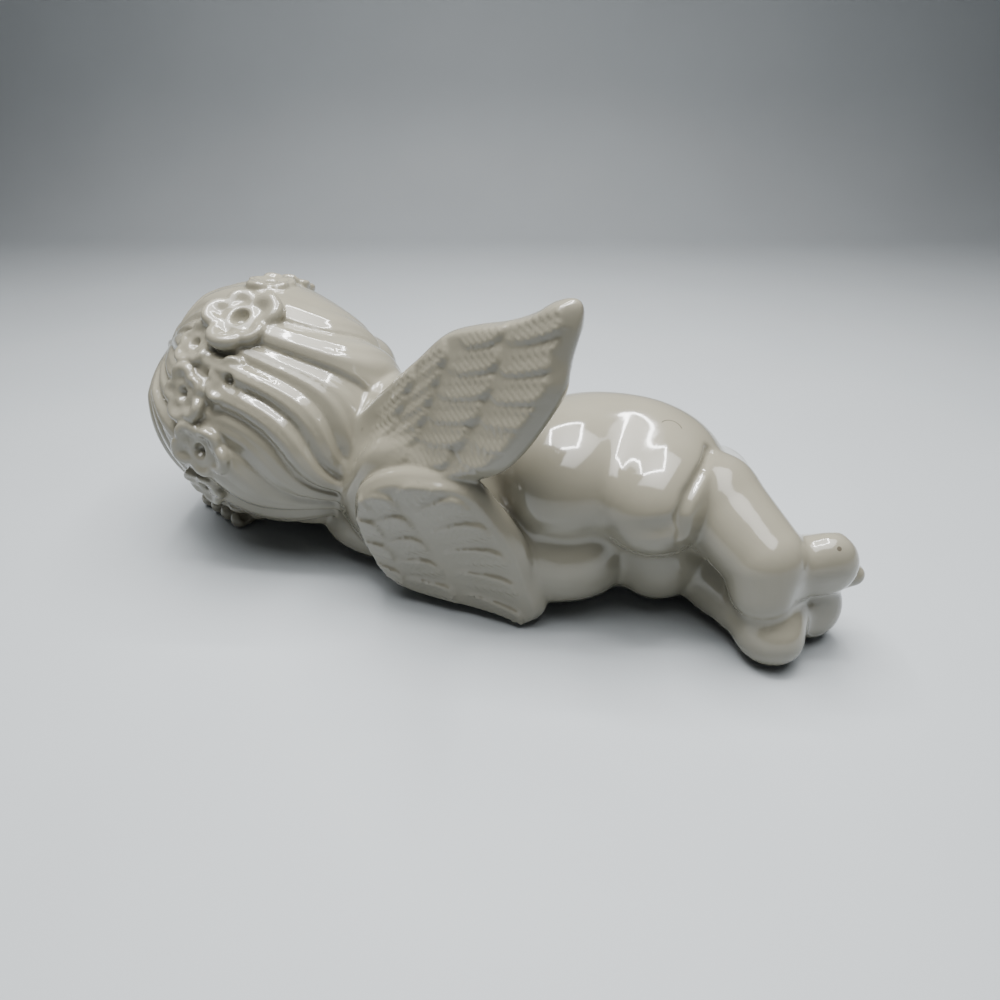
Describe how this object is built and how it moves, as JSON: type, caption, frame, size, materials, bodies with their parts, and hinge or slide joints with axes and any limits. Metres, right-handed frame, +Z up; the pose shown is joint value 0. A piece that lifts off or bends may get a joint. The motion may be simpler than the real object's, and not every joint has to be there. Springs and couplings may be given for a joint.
{
  "type": "cherub figurine",
  "caption": "Glazed porcelain figurine of a winged cherub asleep on its side, with a wreath of blossoms in its curls; stands as a shelf or table ornament.",
  "frame": {"origin": "on the ground, under the middle of the figure's box", "axes": "+X from the head to the feet, +Y from the back with the wings to the face and knees, +Z up"},
  "size_m": [0.275, 0.1104, 0.1165],
  "materials": {
    "glaze": "glossy clear glaze over a warm white body"
  },
  "bodies": {
    "root": {"cherub": "glaze"}
  },
  "joints": []
}
